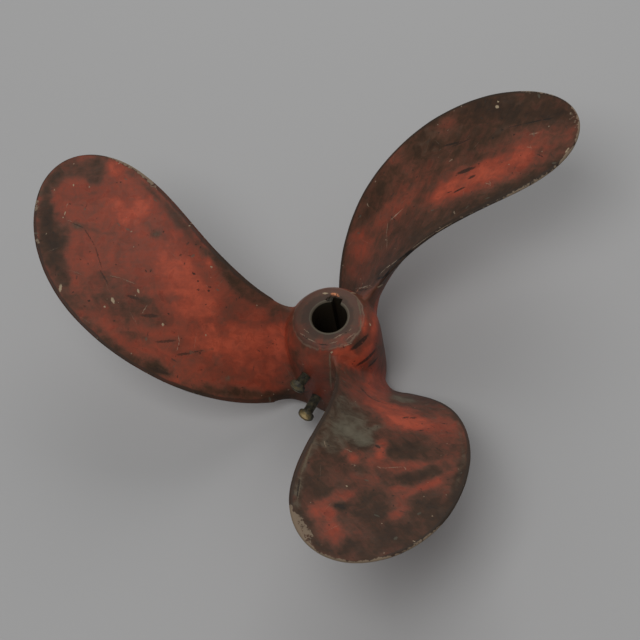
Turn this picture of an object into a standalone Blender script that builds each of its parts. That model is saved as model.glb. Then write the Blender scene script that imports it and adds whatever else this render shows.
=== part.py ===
"""Ship propeller: three swept blades and their hub cast in one piece, with the two screws that lock it.

Metres, +Z up along the shaft. The propeller stands on the forward end of its hub, so the aft faces of the
blades look up. Seen from aft it turns anticlockwise (left-handed). The origin is the balance point, on the
shaft axis.
"""
import math

import bmesh
import bpy
import numpy as np
from mathutils import Matrix, Vector

MM = 0.001
TINY = 0.0001 * MM
CUT_PAST = 50 * MM
SMOOTH_ANGLE = math.radians(35)

# The hub, with heights measured up from its forward end
HUB_LENGTH = 95 * MM
BALANCE_HEIGHT = 75.5 * MM
BORE_RADIUS = 14 * MM
BORE_SEGMENTS = 48
AFT_FACE_RADIUS = 22 * MM
AFT_RIM_RADIUS = 28.5 * MM
FACING_RADIUS = 34 * MM
BARREL_RADIUS = 38 * MM
FORWARD_FACE_RADIUS = 34 * MM
HUB_SEGMENTS = 72

# Half outline of the hub outside the bore: radius and height, from the aft end down
HUB_OUTLINE = (
    (AFT_FACE_RADIUS, HUB_LENGTH),
    (AFT_FACE_RADIUS + 4 * MM, HUB_LENGTH - 0.7 * MM),
    (AFT_RIM_RADIUS, HUB_LENGTH - 2.2 * MM),
    (AFT_RIM_RADIUS + 3 * MM, HUB_LENGTH - 7 * MM),
    (BARREL_RADIUS - 2 * MM, HUB_LENGTH - 16 * MM),
    (BARREL_RADIUS, HUB_LENGTH - 30 * MM),
    (BARREL_RADIUS, 34 * MM),
    (BARREL_RADIUS - 0.7 * MM, 14 * MM),
    (FORWARD_FACE_RADIUS + 1.5 * MM, 2 * MM),
    (FORWARD_FACE_RADIUS, 0),
)

# The keyway, which runs the whole length of the bore
KEYWAY_WIDTH = 8 * MM
KEYWAY_DEPTH = 4.4 * MM
KEYWAY_ANGLE = math.radians(57)

# The blades, with the fillet that spreads their foot over the hub
BLADE_COUNT = 3
FIRST_BLADE_ANGLE = math.radians(172.6)
GENERATOR_HEIGHT = 44 * MM
ROOT_RADIUS = 30 * MM
TIP_RADIUS = 241.5 * MM
EDGE_THICKNESS = 3.2 * MM
EDGE_FLARE = 0.4
ROOT_FILLET = 14 * MM
FILLET_SPREAD = 0.6
TRAILING_FADE = 0.8
TIP_FULLNESS = 2.16

# Blade form at equal steps of span from the root to the tip
MIDLINE_DEGREES = (-2, -3, -12, -20.5, -27)
CHORD_BEFORE_ROUNDING = (30 * MM, 82 * MM, 139 * MM, 190 * MM, 234 * MM)
PITCH = (525 * MM, 508 * MM, 424 * MM, 435 * MM)
AFT_RAKE = (-3 * MM, 51 * MM, 81 * MM)
THICKNESS = (15 * MM, 8.2 * MM, 4.2 * MM)

# Where the sections are taken: inside the hub, down the fillet by its turn, and in steps out to the tip
SUNK_STATIONS = (22 * MM, 28 * MM, 31 * MM, 34 * MM)
FILLET_TURNS = (90, 65, 42, 20)
SPAN_STATIONS = 20
CHORD_STEPS = 8

# The locking screws, whose holes are drilled through the hub's wall with a gap all round
SCREW_DIAMETER = 8 * MM
SCREW_LENGTH = 32 * MM
POINT_CHAMFER = 1 * MM
HEAD_DIAMETER = 13 * MM
HEAD_HEIGHT = 5.5 * MM
HEAD_RIM_HEIGHT = 2 * MM
HEAD_UNDERCUT = 0.4 * MM
SLOT_WIDTH = 1.8 * MM
SLOT_DEPTH = 2.4 * MM
FIT_GAP = 0.3 * MM
SCREW_SEGMENTS = 32
CROWN_STEPS = 7

# Each screw's direction round the shaft, height over the forward end, head's distance from the axis, and slot
SCREWS = {
    "set_screw_upper": (math.radians(-137.5), 58.7 * MM, 47.5 * MM, math.radians(80)),
    "set_screw_lower": (math.radians(-129), 29.1 * MM, 54 * MM, math.radians(65)),
}


def clear_scene():
    for obj in list(bpy.data.objects):
        bpy.data.objects.remove(obj)


def new_collection(name):
    collection = bpy.data.collections.new(name)
    bpy.context.scene.collection.children.link(collection)
    return collection


def material(name, colour, roughness, metallic):
    made = bpy.data.materials.new(name)
    made.use_nodes = True
    shader = made.node_tree.nodes["Principled BSDF"]
    shader.inputs["Base Color"].default_value = (*colour, 1)
    shader.inputs["Roughness"].default_value = roughness
    shader.inputs["Metallic"].default_value = metallic
    return made


def add_object(name, mesh, collection, cutter=False):
    obj = bpy.data.objects.new(name, mesh)
    collection.objects.link(obj)
    if cutter:
        obj.hide_render = True
        obj.display_type = "WIRE"
    return obj


def mesh_from(name, bm):
    mesh = bpy.data.meshes.new(name)
    bm.to_mesh(mesh)
    bm.free()
    return mesh


def through(values):
    """The smooth curve over 0 to 1 that passes through values at equal steps."""
    steps = np.linspace(0, 1, len(values))
    return np.poly1d(np.polyfit(steps, values, len(values) - 1))


midline_at = through([math.radians(angle) for angle in MIDLINE_DEGREES])
chord_at = through(CHORD_BEFORE_ROUNDING)
pitch_at = through(PITCH)
rake_at = through(AFT_RAKE)
thickness_at = through(THICKNESS)


def span_of(radius):
    return (radius - ROOT_RADIUS) / (TIP_RADIUS - ROOT_RADIUS)


def half_chord(span):
    rounding = math.sqrt(max(1 - max(span, 0) ** TIP_FULLNESS, 0))
    return chord_at(span) / 2 * rounding


def blade_point(radius, arc, offset):
    """A point at arc round the cylinder of this radius from the generator line, raised off the aft face."""
    span = span_of(radius)
    lead = pitch_at(span) / (2 * math.pi)
    slope = math.atan2(lead, radius)
    height = rake_at(span) - lead * arc / radius + offset * math.cos(slope)
    angle = (arc + offset * math.sin(slope)) / radius
    return Vector((radius * math.cos(angle), radius * math.sin(angle), height))


def hub_radius(height):
    """The radius of the hub's outside at a height over the generator line's foot."""
    outline = sorted((level - GENERATOR_HEIGHT, radius) for radius, level in HUB_OUTLINE)
    return np.interp(height, [level for level, _ in outline], [radius for _, radius in outline])


def flare(radius, arc, across):
    """How far the fillet at the foot of the blade stands off its surface here, less at the trailing edge."""
    clear = radius - hub_radius(blade_point(radius, arc, 0).z)
    sunk = min(max(ROOT_FILLET - clear, 0), ROOT_FILLET)
    return FILLET_SPREAD * sunk ** 2 / ROOT_FILLET * (1 - TRAILING_FADE * max(-across, 0))


def blade_section(radius):
    """The closed ring of one section: the flat aft face, then the rounded back, both with their fillet."""
    span = span_of(radius)
    centre = midline_at(span) * radius
    half = half_chord(span) - EDGE_THICKNESS / 2
    rim = EDGE_THICKNESS / 2
    swell = thickness_at(span) - EDGE_THICKNESS
    face, back, ends = [], [], []
    for step in range(CHORD_STEPS + 1):
        across = math.cos(math.pi * step / CHORD_STEPS)
        arc = centre + half * across
        off = rim + flare(radius, arc, across)
        arc += flare(radius, arc, across) * EDGE_FLARE * across
        face.append(blade_point(radius, arc, off))
        back.append(blade_point(radius, arc, -off - swell * (1 - across ** 2)))
    for side in (1, -1):
        arc = centre + half * side
        arc += (rim + flare(radius, arc, side) * EDGE_FLARE) * side
        ends.append(blade_point(radius, arc, 0))
    leading, trailing = ends
    return face + [trailing] + back[::-1] + [leading]


def blade_stations():
    """Radii of the sections: inside the hub, close together up the fillet, then out to the tip."""
    stations = list(SUNK_STATIONS)
    for degrees in FILLET_TURNS:
        stations.append(BARREL_RADIUS + ROOT_FILLET * (1 - math.sin(math.radians(degrees))))
    start = math.asin(span_of(BARREL_RADIUS + ROOT_FILLET))
    for step in range(SPAN_STATIONS):
        turn = start + (math.pi / 2 - start) * step / SPAN_STATIONS
        stations.append(ROOT_RADIUS + (TIP_RADIUS - ROOT_RADIUS) * math.sin(turn))
    return stations


def blade_mesh(index):
    bm = bmesh.new()
    rings = [[bm.verts.new(point) for point in blade_section(radius)] for radius in blade_stations()]
    for inner, outer in zip(rings, rings[1:]):
        for near in range(len(inner)):
            far = (near + 1) % len(inner)
            bm.faces.new((inner[near], inner[far], outer[far], outer[near]))
    tip = bm.verts.new(blade_point(TIP_RADIUS, midline_at(1) * TIP_RADIUS, 0))
    last = rings[-1]
    for near in range(len(last)):
        bm.faces.new((last[near], last[(near + 1) % len(last)], tip))
    bm.faces.new(rings[0])
    bmesh.ops.triangulate(bm, faces=bm.faces)
    bmesh.ops.recalc_face_normals(bm, faces=bm.faces)
    turn = FIRST_BLADE_ANGLE + index * 2 * math.pi / BLADE_COUNT
    lift = Matrix.Translation((0, 0, GENERATOR_HEIGHT - BALANCE_HEIGHT))
    bmesh.ops.transform(bm, matrix=lift @ Matrix.Rotation(turn, 4, "Z"), verts=bm.verts)
    return mesh_from(f"blade_{index + 1}", bm)


def turned_mesh(name, profile, segments):
    """A solid of revolution about Z, from a profile of (radius, height) that runs down its outer side."""
    bm = bmesh.new()
    verts = [bm.verts.new((radius, 0, height)) for radius, height in profile]
    for upper, lower in zip(verts, verts[1:]):
        bm.edges.new((upper, lower))
    mesh = mesh_from(name, bm)
    obj = bpy.data.objects.new(name, mesh)
    bpy.context.scene.collection.objects.link(obj)
    screw = obj.modifiers.new("turn", "SCREW")
    screw.steps = screw.render_steps = segments
    screw.use_merge_vertices = True
    screw.merge_threshold = TINY
    turned = bpy.data.meshes.new_from_object(obj.evaluated_get(bpy.context.evaluated_depsgraph_get()))
    bpy.data.objects.remove(obj)
    bpy.data.meshes.remove(mesh)
    turned.name = name
    return turned


def hub_mesh():
    """The hub: a machined ring at the aft end, a rounded shoulder and a slightly full barrel."""
    profile = [(0, HUB_LENGTH), *HUB_OUTLINE, (0, 0)]
    return turned_mesh("hub", [(radius, level - BALANCE_HEIGHT) for radius, level in profile], HUB_SEGMENTS)


def box_mesh(name, size, centre):
    bm = bmesh.new()
    bmesh.ops.create_cube(bm, size=1, matrix=Matrix.Translation(centre) @ Matrix.Diagonal((*size, 1)))
    return mesh_from(name, bm)


def cylinder_mesh(name, radius, low, high, segments):
    bm = bmesh.new()
    bmesh.ops.create_cone(
        bm, cap_ends=True, segments=segments, radius1=radius, radius2=radius, depth=high - low,
        matrix=Matrix.Translation((0, 0, (low + high) / 2)),
    )
    return mesh_from(name, bm)


def along_radius(angle, height):
    """The frame of a screw: its own +Z points straight out from the shaft axis."""
    place = Matrix.Translation((0, 0, height - BALANCE_HEIGHT))
    return place @ Matrix.Rotation(angle, 4, "Z") @ Matrix.Rotation(math.pi / 2, 4, "Y")


def boolean(obj, other, operation):
    modifier = obj.modifiers.new(other.name, "BOOLEAN")
    modifier.operation = operation
    modifier.object = other
    modifier.solver = "EXACT"


def make_keyway_cutter(cutters):
    depth = BORE_RADIUS + KEYWAY_DEPTH
    size = (depth, KEYWAY_WIDTH, HUB_LENGTH + 2 * CUT_PAST)
    mesh = box_mesh("keyway", size, (depth / 2, 0, HUB_LENGTH / 2 - BALANCE_HEIGHT))
    keyway = add_object(mesh.name, mesh, cutters, cutter=True)
    keyway.rotation_euler.z = KEYWAY_ANGLE
    return keyway


def make_casting(parts, cutters, bronze):
    """The hub with its blades, then the cuts that a lathe, a slotter and a drill make in it."""
    casting = add_object("propeller_casting", hub_mesh(), parts)
    casting.data.materials.append(bronze)
    for index in range(BLADE_COUNT):
        mesh = blade_mesh(index)
        boolean(casting, add_object(mesh.name, mesh, cutters, cutter=True), "UNION")
    aft, forward = HUB_LENGTH - BALANCE_HEIGHT, -BALANCE_HEIGHT
    wide = BARREL_RADIUS + 2 * ROOT_FILLET
    cuts = [
        cylinder_mesh("aft_facing", FACING_RADIUS, aft, aft + CUT_PAST, HUB_SEGMENTS),
        cylinder_mesh("forward_facing", wide, forward - CUT_PAST, forward, HUB_SEGMENTS),
        cylinder_mesh("bore", BORE_RADIUS, forward - CUT_PAST, aft + CUT_PAST, BORE_SEGMENTS),
    ]
    for mesh in cuts:
        boolean(casting, add_object(mesh.name, mesh, cutters, cutter=True), "DIFFERENCE")
    boolean(casting, make_keyway_cutter(cutters), "DIFFERENCE")
    for name, (angle, height, seat, _) in SCREWS.items():
        hole_radius = SCREW_DIAMETER / 2 + FIT_GAP
        mesh = cylinder_mesh(name + "_hole", hole_radius, BORE_RADIUS / 2, seat, SCREW_SEGMENTS)
        hole = add_object(mesh.name, mesh, cutters, cutter=True)
        hole.matrix_world = along_radius(angle, height)
        boolean(casting, hole, "DIFFERENCE")
    return casting


def screw_profile():
    """A round head with its crown up, the shank below it and a chamfered point."""
    shank, head = SCREW_DIAMETER / 2, HEAD_DIAMETER / 2
    crown = HEAD_HEIGHT - HEAD_RIM_HEIGHT
    turns = np.linspace(0, math.pi / 2, CROWN_STEPS)
    dome = [(head * math.sin(turn), HEAD_RIM_HEIGHT + crown * math.cos(turn)) for turn in turns]
    return dome + [
        (head - HEAD_UNDERCUT, 0),
        (shank, 0),
        (shank, POINT_CHAMFER - SCREW_LENGTH),
        (shank - POINT_CHAMFER, -SCREW_LENGTH),
        (0, -SCREW_LENGTH),
    ]


def make_screw(name, parts, cutters, brass):
    angle, height, seat, slot_turn = SCREWS[name]
    screw = add_object(name, turned_mesh(name, screw_profile(), SCREW_SEGMENTS), parts)
    screw.data.materials.append(brass)
    screw.matrix_world = along_radius(angle, height) @ Matrix.Translation((0, 0, seat))
    slot_size = (2 * HEAD_DIAMETER, SLOT_WIDTH, 2 * SLOT_DEPTH)
    mesh = box_mesh(name + "_slot", slot_size, (0, 0, HEAD_HEIGHT))
    slot = add_object(mesh.name, mesh, cutters, cutter=True)
    slot.matrix_world = screw.matrix_world @ Matrix.Rotation(slot_turn, 4, "Z")
    boolean(screw, slot, "DIFFERENCE")
    return screw


def smooth_shading(obj):
    obj.data.shade_smooth()
    obj.data.set_sharp_from_angle(angle=SMOOTH_ANGLE)


clear_scene()
parts = new_collection("ship_propeller")
cutters = new_collection("cutters")
bronze = material("red_painted_bronze", (0.22, 0.045, 0.025), 0.5, 0)
brass = material("tarnished_brass", (0.30, 0.24, 0.12), 0.4, 1)
smooth_shading(make_casting(parts, cutters, bronze))
for screw_name in SCREWS:
    smooth_shading(make_screw(screw_name, parts, cutters, brass))
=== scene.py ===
"""The ship propeller: worn red bottom paint on brown cast bronze, and two tarnished brass screws.

Every size is the real one in metres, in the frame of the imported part: +Z up along the shaft, origin at
the balance point. Colours are sRGB hex values.
"""
import math
import random

import bmesh
import bpy
import numpy as np
from mathutils import Matrix, Vector, noise
from mathutils.bvhtree import BVHTree


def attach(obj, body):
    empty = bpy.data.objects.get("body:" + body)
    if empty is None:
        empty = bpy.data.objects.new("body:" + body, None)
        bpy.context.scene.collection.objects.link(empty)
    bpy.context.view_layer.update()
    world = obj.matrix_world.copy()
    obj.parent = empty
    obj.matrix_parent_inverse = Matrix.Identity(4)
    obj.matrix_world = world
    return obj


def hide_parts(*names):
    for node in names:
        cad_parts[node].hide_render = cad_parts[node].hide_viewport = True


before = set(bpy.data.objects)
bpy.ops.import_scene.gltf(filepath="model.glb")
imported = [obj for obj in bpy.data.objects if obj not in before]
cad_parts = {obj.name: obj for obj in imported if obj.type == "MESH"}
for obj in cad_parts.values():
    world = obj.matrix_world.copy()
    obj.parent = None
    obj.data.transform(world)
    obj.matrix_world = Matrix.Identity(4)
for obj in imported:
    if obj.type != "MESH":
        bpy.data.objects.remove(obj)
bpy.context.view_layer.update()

MM = 0.001

# The view of the picture, through a long lens that is turned a little clockwise. The marks on the casting
# are placed in it.
PICTURE_SIDE = 640
SENSOR_WIDTH = 36.0
LENS = 121.04
CAMERA_DISTANCE = 1731.7 * MM
CAMERA_HEIGHT_ANGLE = math.radians(58.03)
CAMERA_ROLL = math.radians(-12.83)
AIM = Vector((-7.6, 30.9, -31.5)) * MM
PICTURE_SCALE = PICTURE_SIDE * LENS / SENSOR_WIDTH


def new_object(name, data):
    made = bpy.data.objects.new(name, data)
    bpy.context.scene.collection.objects.link(made)
    return made


ahead = Vector((0, math.cos(CAMERA_HEIGHT_ANGLE), -math.sin(CAMERA_HEIGHT_ANGLE)))
rolled = Matrix.Rotation(CAMERA_ROLL, 3, -ahead)
to_right = rolled @ Vector((1, 0, 0))
to_top = to_right.cross(ahead)
eye = AIM - ahead * CAMERA_DISTANCE
camera = new_object("camera", bpy.data.cameras.new("camera"))
camera.data.sensor_width = SENSOR_WIDTH
camera.data.lens = LENS
camera.matrix_world = Matrix.Translation(eye) @ Matrix((to_right, to_top, -ahead)).transposed().to_4x4()
bpy.context.scene.camera = camera


def picture_places(points):
    """Where points of the frame show in the picture, in its pixels."""
    away = np.asarray(points) - np.array(eye)
    depth = away @ np.array(ahead)
    across = PICTURE_SIDE / 2 + PICTURE_SCALE * (away @ np.array(to_right)) / depth
    down = PICTURE_SIDE / 2 - PICTURE_SCALE * (away @ np.array(to_top)) / depth
    return np.stack([across, down], axis=-1)


def sight_line(x, y):
    """The direction from the camera through a place in the picture."""
    aside = (x - PICTURE_SIDE / 2) / PICTURE_SCALE
    above = (PICTURE_SIDE / 2 - y) / PICTURE_SCALE
    return (ahead + to_right * aside + to_top * above).normalized()


# The casting: one piece of manganese bronze, sand cast as a hub with three swept blades, whose feet
# spread over the hub in soft fillets. It is faced at both ends, bored and slotted for a key, and tapped
# for two screws.
HUB_LENGTH = 95 * MM
BALANCE_HEIGHT = 75.5 * MM
AFT_END = HUB_LENGTH - BALANCE_HEIGHT
FORWARD_END = -BALANCE_HEIGHT
BORE_RADIUS = 14 * MM
FACING_RADIUS = 34 * MM
BARREL_RADIUS = 38 * MM
HUB_TURN_STEPS = 180
HUB_OUTLINE = [(radius * MM, level * MM) for radius, level in (
    (22, 95), (26.6, 94.1), (28.3, 93.3), (29.2, 92), (31.5, 88), (36, 79),
    (38, 65), (38, 34), (37.3, 14), (35.5, 2), (34, 0),
)]
HUB_OUTLINE_STEP = 1.5 * MM
CUT_PAST = 50 * MM

BLADE_COUNT = 3
FIRST_BLADE_ANGLE = math.radians(172.6)
BLADE_TURNS = FIRST_BLADE_ANGLE + np.arange(BLADE_COUNT) * 2 * math.pi / BLADE_COUNT
GENERATOR_LEVEL = 44 * MM - BALANCE_HEIGHT
ROOT_RADIUS = 30 * MM
FOOT_RADIUS = 22 * MM
TIP_RADIUS = 241.5 * MM
EDGE_THICKNESS = 3.2 * MM
EDGE_RADIUS = EDGE_THICKNESS / 2
TIP_CENTRE = TIP_RADIUS - EDGE_RADIUS
EDGE_FLARE = 0.4
ROOT_FILLET = 14 * MM
FILLET_SPREAD = 0.6
TRAILING_FADE = 0.8
TIP_FULLNESS = 2.16
MIDLINE_DEGREES = (-2, -3, -12, -20.5, -27)
CHORD_BEFORE_ROUNDING = (30 * MM, 82 * MM, 139 * MM, 190 * MM, 234 * MM)
PITCH = (525 * MM, 508 * MM, 424 * MM, 435 * MM)
AFT_RAKE = (-3 * MM, 51 * MM, 81 * MM)
THICKNESS = (15 * MM, 8.2 * MM, 4.2 * MM)

FACE_STEPS = 64
NOSE_STEPS = 6
SPAN_STEPS = 140
TIP_CROWDING = 1.7
OUTLINE_STEP = 0.002
BLADE_WELD = 0.02 * MM
TURNED_WELD = 0.01 * MM


def through(values):
    """The smooth curve over 0 to 1 that passes through values at equal steps."""
    steps = np.linspace(0, 1, len(values))
    return np.poly1d(np.polyfit(steps, values, len(values) - 1))


midline_at = through([math.radians(angle) for angle in MIDLINE_DEGREES])
chord_at = through(CHORD_BEFORE_ROUNDING)
pitch_at = through(PITCH)
rake_at = through(AFT_RAKE)
thickness_at = through(THICKNESS)


def span_of(radius):
    return (radius - ROOT_RADIUS) / (TIP_RADIUS - ROOT_RADIUS)


def blade_point(radius, arc, offset):
    """A point on the cylinder of this radius: arc is from the generator line, offset from the aft face."""
    lead = pitch_at(span_of(radius)) / (2 * math.pi)
    slope = math.atan2(lead, radius)
    height = rake_at(span_of(radius)) - lead * arc / radius + offset * math.cos(slope)
    angle = (arc + offset * math.sin(slope)) / radius
    return Vector((radius * math.cos(angle), radius * math.sin(angle), height))


def flat_edge(radius, side):
    """The arc at which the flat of a blade ends and its rounded edge begins."""
    share = max(radius - ROOT_RADIUS, 0) / (TIP_CENTRE - ROOT_RADIUS)
    rounding = math.sqrt(max(1 - share ** TIP_FULLNESS, 0))
    half = (chord_at(span_of(radius)) - EDGE_THICKNESS) / 2 * rounding
    return midline_at(span_of(radius)) * radius + side * half


hub_levels = [level - BALANCE_HEIGHT - GENERATOR_LEVEL for _, level in reversed(HUB_OUTLINE)]
hub_radii = [radius for radius, _ in reversed(HUB_OUTLINE)]


def fillet_at(radius, arc, across):
    """How far the fillet at the blade's foot stands off its surface, less at the trailing edge."""
    clear = radius - np.interp(blade_point(radius, arc, 0).z, hub_levels, hub_radii)
    sunk = min(max(ROOT_FILLET - clear, 0), ROOT_FILLET)
    return FILLET_SPREAD * sunk ** 2 / ROOT_FILLET * (1 - TRAILING_FADE * max(-across, 0))


def station_radius(share):
    """Radii from inside the hub to the tip, closer together towards the tip."""
    return FOOT_RADIUS + (TIP_CENTRE - FOOT_RADIUS) * (1 - (1 - share) ** TIP_CROWDING)


def edge_direction(share, side):
    """The outward normal of the blade's outline here, as (arc, radius)."""
    near, far = max(share - OUTLINE_STEP, 0), min(share + OUTLINE_STEP, 1)
    run = station_radius(far) - station_radius(near)
    rise = flat_edge(station_radius(far), side) - flat_edge(station_radius(near), side)
    turn = math.atan2(run, rise * side)
    return side * math.sin(turn), -math.cos(turn)


def skin_place(ring, share):
    """A point of the blade's skin: ring goes round the section, from the leading edge on the aft face."""
    radius = station_radius(share)
    half_ring = FACE_STEPS + NOSE_STEPS
    on_back = ring >= half_ring
    step = ring - half_ring if on_back else ring
    swell = thickness_at(span_of(radius)) - EDGE_THICKNESS
    if step <= FACE_STEPS:
        across = (1 - 2 * step / FACE_STEPS) * (-1 if on_back else 1)
        leading, trailing = flat_edge(radius, 1), flat_edge(radius, -1)
        arc = (leading + trailing) / 2 + (leading - trailing) / 2 * across
        fillet = fillet_at(radius, arc, across)
        arc += fillet * EDGE_FLARE * across
        if on_back:
            return blade_point(radius, arc, -EDGE_RADIUS - fillet - swell * (1 - across ** 2))
        return blade_point(radius, arc, EDGE_RADIUS + fillet)
    side = 1 if on_back else -1
    turn = math.pi / 2 - math.pi * (step - FACE_STEPS) / NOSE_STEPS
    turn = -turn if on_back else turn
    arc = flat_edge(radius, side)
    fillet = fillet_at(radius, arc, side)
    along, out = edge_direction(share, side)
    aside = EDGE_RADIUS * math.cos(turn)
    arc += fillet * EDGE_FLARE * side + along * aside
    return blade_point(radius + out * aside, arc, (EDGE_RADIUS + fillet) * math.sin(turn))


def new_mesh(name, bm):
    made = bpy.data.meshes.new(name)
    bm.to_mesh(made)
    bm.free()
    return made


def blade_mesh(turn):
    """A flat grid rolled into the blade's skin and closed, along the leading edge and at both ends."""
    bm = bmesh.new()
    ring_steps = 2 * (FACE_STEPS + NOSE_STEPS)
    bmesh.ops.create_grid(bm, x_segments=ring_steps, y_segments=SPAN_STEPS, size=0.5)
    for vert in bm.verts:
        ring = round((vert.co.x + 0.5) * ring_steps) % ring_steps
        vert.co = skin_place(ring, min(max(vert.co.y + 0.5, 0), 1))
    bmesh.ops.remove_doubles(bm, verts=bm.verts, dist=BLADE_WELD)
    bmesh.ops.holes_fill(bm, edges=[edge for edge in bm.edges if edge.is_boundary], sides=0)
    bmesh.ops.recalc_face_normals(bm, faces=bm.faces)
    place = Matrix.Translation((0, 0, GENERATOR_LEVEL)) @ Matrix.Rotation(turn, 4, "Z")
    bmesh.ops.transform(bm, matrix=place, verts=bm.verts)
    return new_mesh("blade", bm)


def turned_mesh(name, profile, steps):
    """A solid of revolution about Z from a profile of (radius, height) whose ends lie on the axis."""
    bm = bmesh.new()
    verts = [bm.verts.new((radius, 0, height)) for radius, height in profile]
    edges = [bm.edges.new(pair) for pair in zip(verts, verts[1:])]
    full_turn = {"cent": (0, 0, 0), "axis": (0, 0, 1), "angle": 2 * math.pi, "use_merge": True}
    bmesh.ops.spin(bm, geom=verts + edges, steps=steps, **full_turn)
    bmesh.ops.remove_doubles(bm, verts=bm.verts, dist=TURNED_WELD)
    bmesh.ops.recalc_face_normals(bm, faces=bm.faces)
    return new_mesh(name, bm)


def smooth_outline(points, step):
    """The outline's points joined by a curve, which keeps the flats flat, at about equal steps."""
    points = [Vector(point) for point in points]
    made = []
    for index in range(len(points) - 1):
        before = points[max(index - 1, 0)]
        start, end = points[index], points[index + 1]
        after = points[min(index + 2, len(points) - 1)]
        pull_start, pull_end = (end - before) / 2, (after - start) / 2
        run = (end - start).length
        pull_start *= min(1, run / pull_start.length)
        pull_end *= min(1, run / pull_end.length)
        count = max(1, round(run / step))
        for part in range(count):
            t = part / count
            made.append(
                start * (2 * t ** 3 - 3 * t ** 2 + 1) + pull_start * (t ** 3 - 2 * t ** 2 + t)
                + end * (3 * t ** 2 - 2 * t ** 3) + pull_end * (t ** 3 - t ** 2)
            )
    return made + [points[-1]]


def combine(piece, other, operation):
    """Joins or cuts the piece with the other mesh, and leaves the result as the piece's own mesh."""
    tool = new_object("tool", other)
    modifier = piece.modifiers.new("combine", "BOOLEAN")
    modifier.operation = operation
    modifier.object = tool
    modifier.solver = "MANIFOLD"
    made = bpy.data.meshes.new_from_object(piece.evaluated_get(bpy.context.evaluated_depsgraph_get()))
    piece.modifiers.clear()
    piece.data = made
    bpy.data.objects.remove(tool)


def cylinder(name, radius, low, high, steps):
    return turned_mesh(name, ((0, low), (radius, low), (radius, high), (0, high)), steps)


outline = smooth_outline(HUB_OUTLINE, HUB_OUTLINE_STEP)
hub_profile = [(0, AFT_END), (BORE_RADIUS / 2, AFT_END)]
hub_profile += [(radius, level - BALANCE_HEIGHT) for radius, level in outline]
hub_profile += [(BORE_RADIUS, FORWARD_END), (0, FORWARD_END)]
casting = new_object("bronze_casting", turned_mesh("hub", hub_profile, HUB_TURN_STEPS))
for turn in BLADE_TURNS:
    combine(casting, blade_mesh(turn), "UNION")
for name, radius, low, high in (
    ("aft_facing", FACING_RADIUS, AFT_END, AFT_END + CUT_PAST),
    ("forward_facing", BARREL_RADIUS + 2 * ROOT_FILLET, FORWARD_END - CUT_PAST, FORWARD_END),
):
    combine(casting, cylinder(name, radius, low, high, HUB_TURN_STEPS), "DIFFERENCE")

# A sand casting has no sharp inner corners: where a blade's foot meets the hub, the corner is run soft
SOFT_CORNER = math.radians(11)
SOFT_REACH = 4
SOFT_PASSES = 14
FOOT_START = 27 * MM
FOOT_REACH = 62 * MM
END_MARGIN = 0.5 * MM
UNION_SLIVER = 0.03 * MM
bm = bmesh.new()
bm.from_mesh(casting.data)
bmesh.ops.dissolve_degenerate(bm, edges=bm.edges, dist=UNION_SLIVER)
bmesh.ops.triangulate(bm, faces=[face for face in bm.faces if len(face.verts) > 4])
bm.verts.index_update()


def may_soften(vert):
    off_ends = FORWARD_END + END_MARGIN < vert.co.z < AFT_END - END_MARGIN
    return off_ends and FOOT_START < vert.co.xy.length < FOOT_REACH


corner = {
    vert for edge in bm.edges if edge.is_manifold and edge.calc_face_angle() > SOFT_CORNER
    for vert in edge.verts if may_soften(vert)
}
for _ in range(SOFT_REACH):
    corner |= {edge.other_vert(vert) for vert in corner for edge in vert.link_edges}
corner = sorted((vert for vert in corner if may_soften(vert)), key=lambda vert: vert.index)
all_ways = {"use_axis_x": True, "use_axis_y": True, "use_axis_z": True}
for _ in range(SOFT_PASSES):
    bmesh.ops.smooth_vert(bm, verts=corner, factor=0.5, **all_ways)
bm.to_mesh(casting.data)
bm.free()

# The bore with its broken inner edge, the keyway, and the two screw holes
KEYWAY_WIDTH = 8 * MM
KEYWAY_DEPTH = 4.4 * MM
KEYWAY_ANGLE = math.radians(57)
BORE_CHAMFER = 0.9 * MM
BORE_STEPS = 120
SCREW_HOLE_RADIUS = 4.3 * MM
SCREW_HOLE_STEPS = 48
SCREW_PLACES = {
    "upper": (math.radians(-137.5), 58.7 * MM - BALANCE_HEIGHT, 47.5 * MM, math.radians(80)),
    "lower": (math.radians(-129), 29.1 * MM - BALANCE_HEIGHT, 54 * MM, math.radians(65)),
}


def along_radius(angle, level):
    """The frame of a screw: its own +Z points straight out from the shaft axis."""
    turned = Matrix.Rotation(angle, 4, "Z") @ Matrix.Rotation(math.pi / 2, 4, "Y")
    return Matrix.Translation((0, 0, level)) @ turned


def slot_cutter(name, size, centre, turn):
    """A box that cuts a slot: it is set at its centre, and then turned about Z."""
    bm = bmesh.new()
    bmesh.ops.create_cube(bm, size=1, matrix=Matrix.Diagonal((*size, 1)))
    bmesh.ops.translate(bm, vec=centre, verts=bm.verts)
    bmesh.ops.rotate(bm, matrix=Matrix.Rotation(turn, 3, "Z"), verts=bm.verts)
    return new_mesh(name, bm)


bore_profile = (
    (0, FORWARD_END - CUT_PAST),
    (BORE_RADIUS, FORWARD_END - CUT_PAST),
    (BORE_RADIUS, AFT_END - BORE_CHAMFER),
    (BORE_RADIUS + 2 * BORE_CHAMFER, AFT_END + BORE_CHAMFER),
    (0, AFT_END + BORE_CHAMFER),
)
combine(casting, turned_mesh("bore", bore_profile, BORE_STEPS), "DIFFERENCE")
slot_depth = BORE_RADIUS + KEYWAY_DEPTH
slot_centre = (slot_depth / 2, 0, FORWARD_END + HUB_LENGTH / 2)
slot_size = (slot_depth, KEYWAY_WIDTH, 2 * HUB_LENGTH)
combine(casting, slot_cutter("keyway", slot_size, slot_centre, KEYWAY_ANGLE), "DIFFERENCE")

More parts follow.
